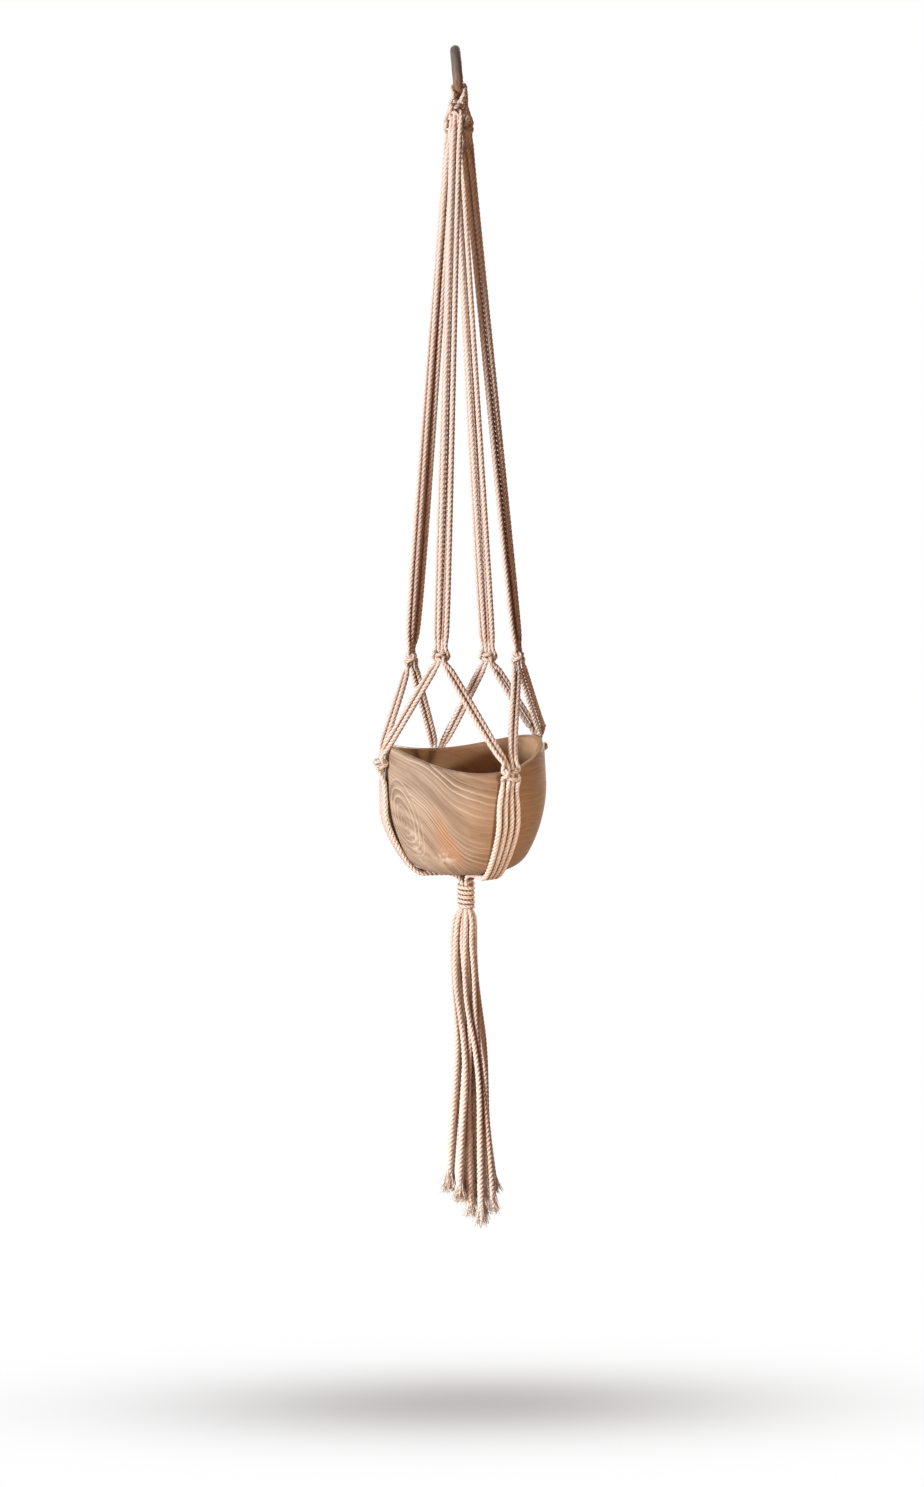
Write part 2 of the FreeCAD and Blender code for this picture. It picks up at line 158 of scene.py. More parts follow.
def cottonMaterial(setting):
    material, tree, shader = newMaterial("cottonCord")
    uv = addNode(tree, "ShaderNodeUVMap", {"uv_map": "lay"}).outputs[0]
    split = addNode(tree, "ShaderNodeSeparateXYZ", i0=uv)
    across = mathNode(tree, "MULTIPLY_ADD", split.outputs[1], 3.0, split.outputs[0])
    lines = mathNode(tree, "MULTIPLY", across, setting["fibreLines"])
    fibres = noise(tree, joined(tree, lines, split.outputs[1], 0.0), 2.2, 3.0)
    coords = addNode(tree, "ShaderNodeTexCoord").outputs["Object"]
    patches = noise(tree, coords, 55.0, 3.0)
    grooveShade = addNode(tree, "ShaderNodeAttribute", {"attribute_name": "grooveShade"}).outputs["Fac"]
    depth = mathNode(tree, "POWER", grooveShade, 1.6)
    blush = ramp(tree, patches, [(0.38, grey(0.0)), (0.68, grey(0.55))])
    colour = mixColour(tree, blush, setting["crown"], setting["blush"])
    thread = ramp(tree, fibres, [(0.35, setting["thread"]), (0.6, grey(1.0))])
    colour = mixColour(tree, 1.0, colour, thread, "MULTIPLY")
    # painted shade in the grooves between the strands, deeper where the groove is deeper
    colour = mixColour(tree, depth, colour, setting["grooveShade"])
    creaseShade = addNode(tree, "ShaderNodeAttribute", {"attribute_name": "creaseShade"}).outputs["Fac"]
    # painted shade in the creases where cords lie against each other
    colour = mixColour(tree, creaseShade, colour, setting["creaseShade"])
    tree.links.new(colour, shader.inputs["Base Color"])
    shader.inputs["Roughness"].default_value = setting["roughness"]
    shader.inputs["Sheen Weight"].default_value = setting["sheen"]
    shader.inputs["Sheen Roughness"].default_value = 0.5
    shader.inputs["Specular IOR Level"].default_value = setting["specular"]
    bump = addNode(tree, "ShaderNodeBump", Strength=setting["bump"], Distance=setting["relief"],
                   Height=fibres)
    tree.links.new(bump.outputs[0], shader.inputs["Normal"])
    return material


cottonCord = cottonMaterial(cotton)
print("stage: cotton")


# Rope: points read from a route's spline, a turning three-lobed section, caps at both ends
def readRoute(name, points):
    curve = bpy.data.curves.new(name, "CURVE")
    curve.dimensions = "3D"
    spline = curve.splines.new("NURBS")
    spline.points.add(len(points) - 1)
    for place, point in zip(spline.points, points):
        place.co = (point[0] * mm, point[1] * mm, point[2] * mm, 1.0)
    spline.order_u = 3
    spline.use_endpoint_u = True
    spline.resolution_u = 24
    holder = bpy.data.objects.new(name, curve)
    mesh = bpy.data.meshes.new_from_object(holder)
    line = np.array([vertex.co[:] for vertex in mesh.vertices])
    bpy.data.objects.remove(holder)
    bpy.data.curves.remove(curve)
    bpy.data.meshes.remove(mesh)
    return line


def ringCentres(line, step):
    spans = np.linalg.norm(np.diff(line, axis=0), axis=1)
    line = line[np.concatenate([[True], spans > 1e-8])]
    spans = np.linalg.norm(np.diff(line, axis=0), axis=1)
    along = np.concatenate([[0.0], np.cumsum(spans)])
    places = np.linspace(0.0, along[-1], int(round(along[-1] / step)) + 1)
    return np.stack([np.interp(places, along, line[:, k]) for k in range(3)], axis=1), places


def carriedSides(centres):
    ways = np.gradient(centres, axis=0)
    ways /= np.linalg.norm(ways, axis=1)[:, None]
    first = Vector(ways[0])
    side = first.orthogonal().normalized()
    sides = []
    for way in ways:
        way = Vector(way)
        side = (side - way * side.dot(way)).normalized()
        sides.append(side[:])
    sides = np.array(sides)
    return sides, np.cross(ways, sides)


def meshFromRings(name, rings, lay, grooveShade):
    count, points = rings.shape[:2]
    mesh = bpy.data.meshes.new(name)
    ends = np.stack([rings[0].mean(axis=0), rings[-1].mean(axis=0)])
    vertices = np.concatenate([rings.reshape(-1, 3), ends])
    row = np.arange(count - 1)[:, None] * points
    here = np.arange(points)[None, :]
    after = (here + 1) % points
    quads = np.stack([row + here, row + after, row + points + after, row + points + here], axis=-1)
    quads = quads.reshape(-1, 4)
    last = (count - 1) * points
    headCap = np.stack([after[0], here[0], np.full(points, count * points)], axis=-1)
    tailCap = np.stack([last + here[0], last + after[0], np.full(points, count * points + 1)], axis=-1)
    corners = np.concatenate([quads.ravel(), headCap.ravel(), tailCap.ravel()])
    mesh.vertices.add(len(vertices))
    mesh.vertices.foreach_set("co", vertices.ravel())
    mesh.loops.add(len(corners))
    mesh.loops.foreach_set("vertex_index", corners)
    faces = len(quads) + 2 * points
    starts = np.concatenate([np.arange(len(quads)) * 4, len(quads) * 4 + np.arange(2 * points) * 3])
    mesh.polygons.add(faces)
    mesh.polygons.foreach_set("loop_start", starts)
    mesh.polygons.foreach_set("use_smooth", np.ones(faces, dtype=bool))
    mesh.update(calc_edges=True)
    mesh.validate()
    uv = np.zeros((len(corners), 2))
    column = np.broadcast_to(here, (count - 1, points))
    across = np.stack([column, column + 1, column + 1, column], axis=-1) / points * 3.0
    low = np.broadcast_to(lay[:-1, None], (count - 1, points))
    high = np.broadcast_to(lay[1:, None], (count - 1, points))
    uv[:len(quads) * 4, 0] = across.ravel()
    uv[:len(quads) * 4, 1] = np.stack([low, low, high, high], axis=-1).ravel()
    mesh.uv_layers.new(name="lay").data.foreach_set("uv", uv.ravel())
    # groove depth for the painted shade in the grooves; the caps get a fixed share
    shade = np.concatenate([np.broadcast_to(grooveShade, (count, points)).ravel(), [rope["capShade"]] * 2])
    mesh.attributes.new("grooveShade", "FLOAT", "POINT").data.foreach_set("value", shade)
    return mesh


rope = {
    "size": 0.005, "lay": 0.0125, "ring": 0.00105, "points": 18, "cut": 0.24, "round": 0.85, "capShade": 0.6,
}
ropes = []


def fade(value, low, high):
    share = np.clip((value - low) / (high - low), 0.0, 1.0)
    return share * share * (3 - 2 * share)


def addRope(name, points, diameter, pinch, start=0.0):
    line = readRoute(name + "Route", points)
    centres, places = ringCentres(line, rope["ring"] * diameter / rope["size"])
    sides, ups = carriedSides(centres)
    local = np.arange(rope["points"]) / rope["points"] * 2 * math.pi
    lobe = np.abs(np.cos(1.5 * local)) ** rope["round"]
    radius = diameter / 2 * (1.0 - rope["cut"] * (1.0 - lobe))
    lay = places / (rope["lay"] * diameter / rope["size"])
    angle = local[None, :] + (start + lay[:, None]) * 2 * math.pi
    reach = radius[None, :] * pinch(centres)[:, None]
    rings = centres[:, None, :] + sides[:, None, :] * (np.cos(angle) * reach)[:, :, None]
    rings += ups[:, None, :] * (np.sin(angle) * reach)[:, :, None]
    piece = bpy.data.objects.new(name, meshFromRings(name, rings, lay, 1.0 - lobe))
    piece.data.materials.append(cottonCord)
    scene.collection.objects.link(piece)
    ropes.append((piece, centres, places, rings, diameter / 2 * pinch(centres)))
    return piece, centres.tolist(), float(places[-1])


# Painted shade: where cords lie against each other the crease between them is darkened, less so in the knots
# and near the ring
creaseShade = {
    "reach": 0.0078, "own": 0.012, "full": 1.08, "none": 1.55, "pressed": 0.35, "tight": (0.75, 1.0),
    "topEase": 0.5, "topRange": (-0.24, -0.12),
}


def addCreaseShade():
    tree = KDTree(sum(len(entry[1]) for entry in ropes))
    owners = []
    for number, (piece, centres, places, rings, radii) in enumerate(ropes):
        for centre, place in zip(centres, places):
            tree.insert(centre, len(owners))
            owners.append((number, place))
    tree.balance()
    for number, (piece, centres, places, rings, radii) in enumerate(ropes):
        shade = np.zeros(len(piece.data.vertices))
        tight = fade(radii / np.median(radii), *creaseShade["tight"])
        share = creaseShade["pressed"] + (1.0 - creaseShade["pressed"]) * tight
        share *= 1.0 - creaseShade["topEase"] * fade(centres[:, 2], *creaseShade["topRange"])
        for index, centre in enumerate(centres):
            near = [co for co, other, gap in tree.find_range(centre, creaseShade["reach"])
                    if owners[other][0] != number or abs(owners[other][1] - places[index]) > creaseShade["own"]]
            if near:
                gaps = rings[index][:, None, :] - np.array(near)[None, :, :]
                gaps = np.linalg.norm(gaps, axis=2).min(axis=1)
                start = index * rope["points"]
                depth = 1.0 - fade(gaps / radii[index], creaseShade["full"], creaseShade["none"])
                shade[start:start + rope["points"]] = depth * share[index]
        piece.data.attributes.new("creaseShade", "FLOAT", "POINT").data.foreach_set("value", shade)


# Routes of the sling: each strand runs from its loop on the ring to the gather, top to bottom.
# Directions are degrees round the axis with 90 to the front; a knot's points are given to its
# right, outward and up.
ringLean = math.radians(5.0)
ringUp = np.array([-math.sin(ringLean), 0.0, math.cos(ringLean)])
ringAxis = np.array([math.cos(ringLean), 0.0, math.sin(ringLean)])
ringCentre = ringUp * -16.0
legs = {
    "a": {"loops": (3.5, 2.5), "top": (-7.4, 20.0, -58.0), "facing": 270.0, "turn": -158.0, "drop": 522.0,
          "fold": 1.0, "wide": 1.3, "fan": 26.0, "knot": 0.6, "left": "back", "right": "left"},
    "b": {"loops": (-3.5, -2.5), "top": (-3.0, -18.0, -45.4), "facing": 90.0, "turn": 113.5, "drop": 511.0,
          "fold": 1.0, "wide": 1.24, "fan": 0.0, "knot": 0.74, "left": "left", "right": "front"},
    "c": {"loops": (1.5, 0.5), "top": (-2.5, 7.0, -63.0), "facing": 270.0, "turn": -65.0, "drop": 525.0,
          "fold": 1.0, "wide": 1.3, "fan": 0.0, "knot": 0.78, "left": "right", "right": "back"},
    "d": {"loops": (-1.5, -0.5), "top": (4.6, -7.0, -60.0), "facing": 90.0, "turn": 22.0, "drop": 516.0,
          "fold": -1.0, "wide": 1.22, "fan": 24.0, "knot": 0.58, "left": "front", "right": "right"},
}
corners = {
    "left": {"turn": 164.0, "drop": 610.5, "radius": 76.4, "pastRim": 71.8, "pairs": 125.0, "narrow": 0.68,
             "knot": 0.68, "pitch": 2.15},
    "front": {"turn": 60.0, "drop": 612.5, "radius": 78.5, "pastRim": None, "pairs": 80.0, "narrow": 0.94,
              "knot": 1.0, "pitch": 2.15},
    "right": {"turn": -29.5, "drop": 607.0, "radius": 76.0, "pastRim": 74.6, "pairs": 55.0, "narrow": 0.8,
              "knot": 0.72, "pitch": 2.9},
    "back": {"turn": -108.5, "drop": 621.0, "radius": 78.5, "pastRim": None, "pairs": -90.0, "narrow": 1.0,
             "knot": 0.9, "pitch": 2.15},
}
loopSetting = {"step": 15.5, "ringRadius": 20.5, "reach": 6.6, "tail": 9.0, "tailReach": 4.4}
bundle = {
    "top": [(-2.7, -2.5), (-2.3, 2.6), (2.3, -2.6), (2.7, 2.5)], "topRun": 36.0,
    "bottom": [(-5.1, -1.25), (-1.7, 1.25), (1.7, -1.25), (5.1, 1.25)], "bottomRun": 32.0,
}
knotSetting = {
    "front": [
        (-5.8, -0.6, 11.0), (-9.0, -1.2, 5.0), (-7.6, 3.2, 1.1), (-1.5, 6.6, 2.1), (4.2, 5.2, 3.9),
        (6.2, -0.5, 4.9), (5.6, -7.2, 3.9), (7.8, -6.8, -0.3), (9.2, -1.0, -1.8), (7.6, 3.2, -5.5),
        (1.5, 6.6, -4.5), (-4.2, 5.2, -2.7), (-6.2, -0.5, -1.7), (-5.6, -7.2, -2.7), (-6.6, -4.4, -7.4),
    ],
    "core": [(2.1, 0.0, 9.0), (2.1, 0.0, 0.0), (2.1, 0.0, -9.0)],
    "top": {"wide": 0.64, "out": 0.72, "in": 0.72, "tall": 0.8, "shift": 0.0},
    "upper": {"out": 0.64, "in": 0.64, "tall": 0.66, "shift": 0.0},
    "lower": {"wide": 0.94, "out": 0.76, "in": 0.6, "tall": 0.92, "shift": 0.6},
}
net = {"upperRadius": 51.0, "starts": (14.0, 24.0), "rimHeight": -590.0}
cradle = {
    "start": 16.0,
    "points": [
        (75.6, None, 7.6), (75.4, -640.0, 10.0), (75.2, -666.0, 10.2), (49.6, -710.6, 7.6),
        (30.0, -711.7, 5.0), (14.0, -712.6, 4.0), (7.0, -717.0, 3.4), (3.2, -723.5, 2.0), (3.0, -746.0, 1.9),
    ],
}


def around(radius, turn, z):
    angle = math.radians(turn)
    return np.array([axisX + radius * math.cos(angle), -radius * math.sin(angle), z])


def directions(turn):
    angle = math.radians(turn)
    right = np.array([math.sin(angle), math.cos(angle), 0.0])
    return right, np.array([math.cos(angle), -math.sin(angle), 0.0])


def fromKnot(centre, turn, point):
    right, out = directions(turn)
    return centre + right * point[0] + out * point[1] + np.array([0.0, 0.0, point[2]])


def topCentre(leg):
    return np.array(leg["top"]) + np.array([axisX, 0.0, 0.0])


def upperCentre(leg):
    return around(net["upperRadius"], leg["turn"], -leg["drop"])


def lowerCentre(corner):
    return around(corner["radius"], corner["turn"], -corner["drop"])


def knotPoints(centre, turn, role, shape, size=1.0):
    kind, sign = {"frontLeft": ("front", 1), "backRight": ("front", -1),
                  "coreLeft": ("core", -1), "coreRight": ("core", 1)}[role]
    points = []
    for t, n, z in knotSetting[kind]:
        n = n * sign if kind == "front" else n
        n = n * (shape["out"] if n > 0 else shape["in"]) + shape["shift"]
        points.append(fromKnot(centre, turn, (t * sign * shape["wide"] * size, n, z * shape["tall"] * size)))
    return points


def loopPoints(leg, strand):
    step = leg["loops"][0 if strand in (0, 3) else 1]
    angle = math.radians(step * loopSetting["step"])
    out = np.array([0.0, math.sin(angle), 0.0]) - ringUp * math.cos(angle)
    rod = ringCentre + out * loopSetting["ringRadius"]
    left = -1 if leg["facing"] == 90.0 else 1
    aside = ringAxis * (left if strand in (0, 1) else -left)
    over = rod + aside * loopSetting["reach"] - out * loopSetting["reach"]
    return [over, rod + aside * loopSetting["tailReach"] + out * loopSetting["tail"]]


def legPoints(leg, strand):
    top = topCentre(leg)
    bottom = upperCentre(leg)
    way = (bottom - top) / np.linalg.norm(bottom - top)
    points = []
    for place, turn, end, wide in (
            (top + way * bundle["topRun"], leg["facing"], "top", 1.0),
            (bottom - way * bundle["bottomRun"], leg["turn"] + leg["fan"], "bottom", leg["wide"])):
        t, n = bundle[end][strand]
        points.append(fromKnot(place, turn, (t * wide, n * leg["fold"], 0.0)))
    return points


def netPoints(leg, strand):
    corner = corners[leg["left"] if strand in (0, 1) else leg["right"]]
    high = upperCentre(leg)
    low = lowerCentre(corner)
    line = [high, low]
    if corner["pastRim"]:
        passing = high + (low - high) * (high[2] - net["rimHeight"]) / (high[2] - low[2])
        flat = passing - np.array([axisX, 0.0, passing[2]])
        line.insert(1, passing + flat / np.linalg.norm(flat) * (corner["pastRim"] - np.linalg.norm(flat)))
    for end, other, start in ((0, 1, net["starts"][0]), (-1, -2, net["starts"][1])):
        way = line[other] - line[end]
        line[end] = line[end] + way / np.linalg.norm(way) * start
    aside = np.cross(low - high, directions(corner["pairs"])[1])
    aside *= corner["pitch"] / np.linalg.norm(aside)
    right = directions(leg["turn"])[0]
    sign = math.copysign(1.0, aside.dot(right)) * (-1 if strand in (0, 2) else 1)
    return [point + aside * sign for point in line]


def cradlePoints(corner, outerShare):
    right, out = directions(corner["turn"])
    points = []
    for radius, z, step in cradle["points"]:
        z = -corner["drop"] - cradle["start"] if z is None else z
        points.append(np.array([axisX, 0.0, z]) + out * radius + right * step * corner["narrow"] * outerShare)
    return points


def strandPoints(leg, strand):
    upper = ("frontLeft", "coreLeft", "coreRight", "backRight")[strand]
    lower = ("coreRight", "backRight", "frontLeft", "coreLeft")[strand]
    corner = corners[leg["left"] if strand in (0, 1) else leg["right"]]
    points = loopPoints(leg, strand)
    points += knotPoints(topCentre(leg), leg["facing"], upper, knotSetting["top"])
    points += legPoints(leg, strand)
    points += knotPoints(upperCentre(leg), leg["turn"], upper, {**knotSetting["upper"], "wide": leg["knot"]})
    points += netPoints(leg, strand)
    points += knotPoints(lowerCentre(corner), corner["turn"], lower, knotSetting["lower"], corner["knot"])
    points += cradlePoints(corner, (1 / 3, 1.0, -1.0, -1 / 3)[strand])
    return points


# The cords press together on the ring, in the knots and in the gather
pressed = {
    "ring": 0.72, "ringFade": (-52.0, -42.0), "knot": 0.74, "knotFade": (11.0, 17.0),
    "gather": 0.72, "gatherFade": (713.0, 722.0),
}


def slingPinch(knots):
    def pinch(centres):
        z = centres[:, 2] / mm
        factor = 1.0 - (1.0 - pressed["ring"]) * fade(z, *pressed["ringFade"])
        for centre in knots:
            gap = np.linalg.norm(centres / mm - centre, axis=1)
            tight = pressed["knot"] + (1 - pressed["knot"]) * fade(gap, *pressed["knotFade"])
            factor = np.minimum(factor, tight)
        return np.minimum(factor, 1.0 - (1.0 - pressed["gather"]) * fade(-z, *pressed["gatherFade"]))
    return pinch


def addSling():
    for name, leg in legs.items():
        for kind, left, right in (("workers", 0, 3), ("cores", 1, 2)):
            points = strandPoints(leg, left)[::-1] + strandPoints(leg, right)
            knots = [topCentre(leg), upperCentre(leg), lowerCentre(corners[leg["left"]]),
                     lowerCentre(corners[leg["right"]])]
            piece, path, length = addRope("sling_%s_%s" % (name, kind), points, 0.005, slingPinch(knots))
            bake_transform(piece)
            parts = ["ring_loops_" + name, "top_knot_" + name, "leg_cords_" + name, "upper_knot_" + name]
            parts.append("gather_core")
            for side in ("left", "right"):
                place = leg[side]
                parts += ["net_cords_%s_%s" % (name, place), "lower_knot_" + place, "cradle_cords_" + place]
            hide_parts(*parts)
            print("sling", name, kind, round(length, 3))


addSling()
print("stage: sling cords")

# Wrapping cord round the gather, five turns with both ends tucked in
wrap = {
    "radius": 6.1, "cord": 3.6, "turns": 5, "pitch": 4.2, "top": -724.3, "perTurn": 12,
    "tuck": 14.0, "swell": 1.2,
}


def addWrap():
    bulge = wrap["radius"] / (0.75 + 0.25 * math.cos(2 * math.pi / wrap["perTurn"]))
    points = []
    for index in range(-2, wrap["turns"] * wrap["perTurn"] + 3):
        share = index / wrap["perTurn"]
        inside = max(0.0, -share, share - wrap["turns"])
        radius = bulge - inside * wrap["tuck"]
        angle = share * 2 * math.pi
        z = wrap["top"] - wrap["pitch"] * min(max(share, 0.0), wrap["turns"])
        points.append((axisX + radius * math.cos(angle), radius * math.sin(angle), z))
    piece, path, length = addRope("gather_wrapping", points, wrap["cord"] * mm,
                                  lambda centres: np.full(len(centres), wrap["swell"]))
    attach(piece, "hanger")
    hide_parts("gather_wrap")


addWrap()
print("stage: wrapping")

# Tassel: sixteen cords that leave the wrapping, spread, wander and hang to uneven, frayed ends.
# Each cord has its place in the bundle, its end and its sway in mm at five levels.
root3 = math.sqrt(3.0)
tassel = {
    "left": [
        (1.0, 180.0, 1014.0, (-1.5, 0.5), (1.5, 1.0), (2.5, -0.5), (0.5, -1.5), (-1.0, 0.0)),
        (root3, 150.0, 1006.0, (-1.0, 0.0), (0.5, -1.5), (2.5, -2.0), (1.5, 0.5), (-1.0, 1.0)),
        (root3, 210.0, 1010.0, (-1.5, -0.5), (-0.5, 0.5), (2.0, 1.5), (2.5, 0.0), (0.0, -1.0)),
        (2.0, 180.0, 1004.0, (0.5, -1.0), (1.5, -1.5), (1.0, 0.5), (-0.5, 1.5), (-2.0, 0.5)),
    ],
    "front": [
        (1.0, 240.0, 1027.0, (1.0, -0.5), (2.5, 0.5), (1.0, 1.5), (-1.5, 0.5), (-2.5, -0.5)),
        (root3, 270.0, 1033.0, (-2.0, -0.5), (-2.5, 0.0), (0.5, 0.5), (2.5, 0.0), (1.5, -0.5)),
        (1.0, 300.0, 1029.0, (-1.0, -1.0), (-2.5, -0.5), (-1.5, 0.5), (1.0, 1.0), (2.0, 0.0)),
        (2.0, 300.0, 1023.0, (0.5, 0.5), (-1.5, 1.0), (-3.0, 0.0), (-1.5, -1.0), (1.0, -0.5)),
    ],
    "right": [
        (1.0, 0.0, 1018.0, (1.0, 1.0), (-0.5, 2.0), (-2.0, 0.5), (-1.0, -1.5), (1.5, -1.0)),
        (root3, 330.0, 1008.0, (-0.5, -1.5), (0.5, -1.0), (1.5, 0.5), (0.5, 1.5), (-1.0, 0.5)),
        (root3, 30.0, 1004.0, (0.5, 1.0), (1.5, 0.0), (0.5, -1.5), (-1.5, -1.0), (-0.5, 0.5)),
        (0.0, 0.0, 1024.0, (1.5, -1.0), (2.0, 0.5), (0.0, 1.5), (-2.0, 0.5), (-1.5, -1.0)),
    ],
    "back": [
        (1.0, 60.0, 1018.0, (0.5, -0.5), (-1.0, -1.5), (-1.5, 0.0), (0.5, 1.5), (1.5, 0.5)),
        (root3, 90.0, 1016.0, (1.0, 0.5), (2.0, -0.5), (0.5, -1.0), (-1.5, 0.0), (-1.0, 1.0)),
        (1.0, 120.0, 1020.0, (-0.5, 1.0), (0.5, 1.5), (1.5, 0.0), (0.5, -1.5), (-1.5, -0.5)),
        (2.0, 60.0, 1006.0, (0.0, -1.0), (-1.0, 0.5), (-0.5, 1.5), (1.0, 0.5), (0.5, -1.0)),
    ],
}
tasselRun = {
    "pitch": 5.25, "head": [(0.26, -738.0), (0.34, -746.5), (0.98, -755.0)],
    "levels": (-776.0, -806.0, -838.0, -872.0, -910.0, -955.0),
    "spread": (1.08, 1.12, 1.16, 1.26, 1.42, 1.64),
    "twist": (0.0, 7.0, 15.0, 22.0, 24.0, 24.0),
    "drift": (-1.2, -0.8, 0.6, 2.4, 3.0, 3.2),
    "end": (2.25, 24.0, 3.6), "sway": 1.2, "loose": (0.45, 230.0), "freed": (746.0, 757.0), "turnStep": 0.37,
}


def tasselPoints(reach, turn, endDrop, *sway):
    radius = reach * tasselRun["pitch"]
    rows = [(share * radius, turn, 0.0, z, (0.0, 0.0)) for share, z in tasselRun["head"]]
    steps = zip(tasselRun["levels"], tasselRun["spread"], tasselRun["twist"], tasselRun["drift"],
                ((0.0, 0.0), *sway))
    rows += [(radius * spread, turn + twist, drift, z, shift) for z, spread, twist, drift, shift in steps]
    spread, twist, drift = tasselRun["end"]
    rows.append((radius * spread, turn + twist, drift, -endDrop, (0.0, 0.0)))
    points = []
    for r, angle, drift, z, shift in rows:
        angle = math.radians(angle)
        x = drift + shift[0] * tasselRun["sway"] + r * math.cos(angle)
        points.append((axisX + x, shift[1] * tasselRun["sway"] + r * math.sin(angle), z))
    return points


def tasselPinch(centres):
    z = -centres[:, 2] / mm
    swell, run = tasselRun["loose"]
    loose = swell * (1.0 - fade(z[-1] - z, 0.0, run))
    return pressed["gather"] + (1.0 - pressed["gather"]) * fade(z, *tasselRun["freed"]) + loose


# Frayed ends: fibres that loosen and splay below each tassel cord
fray = {
    "fibres": 95, "above": 34.0, "bunching": 1.5, "below": (0.5, 7.0), "thick": 0.5, "taper": 0.6,
    "spread": 0.21, "leanRange": (0.1, 1.0), "curl": 0.1, "root": 3.4, "rootRange": (0.3, 1.0),
    "steps": 8, "sides": 3, "pathPoints": 70, "wayPoints": 8, "seed": 7,
}


def addFray(name, path, chance):
    path = np.array(path[-fray["pathPoints"]:])
    end = path[-1]
    way = end - path[-fray["wayPoints"]]
    way /= np.linalg.norm(way)
    above = np.linalg.norm(end - path, axis=1)[::-1]
    side = np.cross(way, (0.0, 1.0, 0.0))
    side /= np.linalg.norm(side)
    other = np.cross(way, side)
    vertices, faces = [], []
    for index in range(fray["fibres"]):
        angle = chance.uniform(0, 2 * math.pi)
        out = side * math.cos(angle) + other * math.sin(angle)
        swirl = np.cross(way, out)
        root = fray["above"] * mm * chance.uniform(0.0, 1.0) ** fray["bunching"]
        length = root + chance.uniform(*fray["below"]) * mm
        reach = fray["root"] * mm * math.sqrt(chance.uniform(*fray["rootRange"]))
        lean = fray["spread"] * chance.uniform(*fray["leanRange"])
        curl = chance.uniform(-fray["curl"], fray["curl"])
        for step in range(fray["steps"]):
            share = step / (fray["steps"] - 1)
            below = length * share - root
            line = np.array([np.interp(max(-below, 0.0), above, path[::-1, k]) for k in range(3)])
            bend = out * (reach * (0.8 + 0.2 * share) + length * lean * share ** 3)
            bend = bend + swirl * length * curl * share ** 2
            centre = line + way * max(below, 0.0) + bend
            thick = fray["thick"] * mm * (1.0 - fray["taper"] * share)
            for corner in range(fray["sides"]):
                turn = corner * 2 * math.pi / fray["sides"]
                vertices.append(centre + out * thick * math.cos(turn) + swirl * thick * math.sin(turn))
        sides = fray["sides"]
        base = index * fray["steps"] * sides
        for step in range(fray["steps"] - 1):
            for corner in range(sides):
                here = base + step * sides
                after = (corner + 1) % sides
                faces.append((here + corner, here + after, here + sides + after, here + sides + corner))
        tip = base + (fray["steps"] - 1) * sides
        faces.append(tuple(range(base, base + sides))[::-1])
        faces.append(tuple(range(tip, tip + sides)))
    mesh = bpy.data.meshes.new(name)
    mesh.from_pydata([tuple(v) for v in vertices], [], faces)
    mesh.polygons.foreach_set("use_smooth", [True] * len(mesh.polygons))
    mesh.uv_layers.new(name="lay")
    mesh.attributes.new("grooveShade", "FLOAT", "POINT")
    mesh.materials.append(cottonCord)
    piece = bpy.data.objects.new(name, mesh)
    scene.collection.objects.link(piece)
    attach(piece, "tassel")
    return piece


def addTassel():
    turn = 0.0
    chance = np.random.default_rng(fray["seed"])
    for place, cords in tassel.items():
        for index, cord in enumerate(cords):
            name = "tassel_%s_%d" % (place, index + 1)
            points = tasselPoints(*cord)
            turn += tasselRun["turnStep"]
            piece, path, length = addRope(name, points, 0.005, tasselPinch, turn)
            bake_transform(piece)
            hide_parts("tassel_neck", "tassel_cords_" + place)
            ends = addFray("fray_%s_%d" % (place, index + 1), path, chance)


addTassel()
addCreaseShade()
print("stage: tassel")

# Bowl: oiled wood. Growth rings sweep down to the right across the front, an oval figure stands on
# the left side, a warm wedge lies below the sweep and the right side is plain, in a darker, warmer brown that
# is also painted shade.
# Places on the wall are in mm to the right of the oval's heart and above it.
bowlWood = {
    "eye": (142.0, 72.0, -654.0), "sweepTurn": 196.0, "sweepSharp": 5.1, "sweepFan": 0.6, "sweepDrop": 52.6,
    "oval": {"size": (21.0, 36.0), "lean": 16.0, "rings": 5.0}, "spacing": 7.0,
    "pale": (0.47, 0.345, 0.238), "mid": (0.27, 0.182, 0.117), "plainAndShade": (0.312, 0.167, 0.077),
    "hollowShade": (0.48, 0.27, 0.135), "wedge": (0.45, 0.22, 0.10), "line": (0.13, 0.068, 0.036),
    "bright": (0.76, 0.64, 0.51), "lineShare": 0.4, "brightShare": 1.0, "leastShare": 0.05,
    "plainFrom": (0.68, 1.75), "hollowShadeShare": 0.65, "wedgeShare": 0.7,
    "patch": {"at": (12.0, -24.0), "size": (9.0, 17.0), "share": 0.75},
    "burl": {"at": (43.0, -33.0), "size": (10.0, 7.0), "share": 0.8},
    "specular": 0.3, "bump": 0.16, "relief": 0.0004,
}


def vectorNode(tree, operation, first, second):
    node = addNode(tree, "ShaderNodeVectorMath", {"operation": operation}, i0=first, i1=second)
    return node.outputs["Value"] if operation in ("LENGTH", "DOT_PRODUCT") else node.outputs["Vector"]


def hump(tree, parts):
    total = 0.0
    for value, centre, size in parts:
        share = mathNode(tree, "DIVIDE", mathNode(tree, "SUBTRACT", value, centre), size)
        total = mathNode(tree, "MULTIPLY_ADD", share, share, total)
    return mathNode(tree, "EXPONENT", mathNode(tree, "MULTIPLY", total, -1.0))


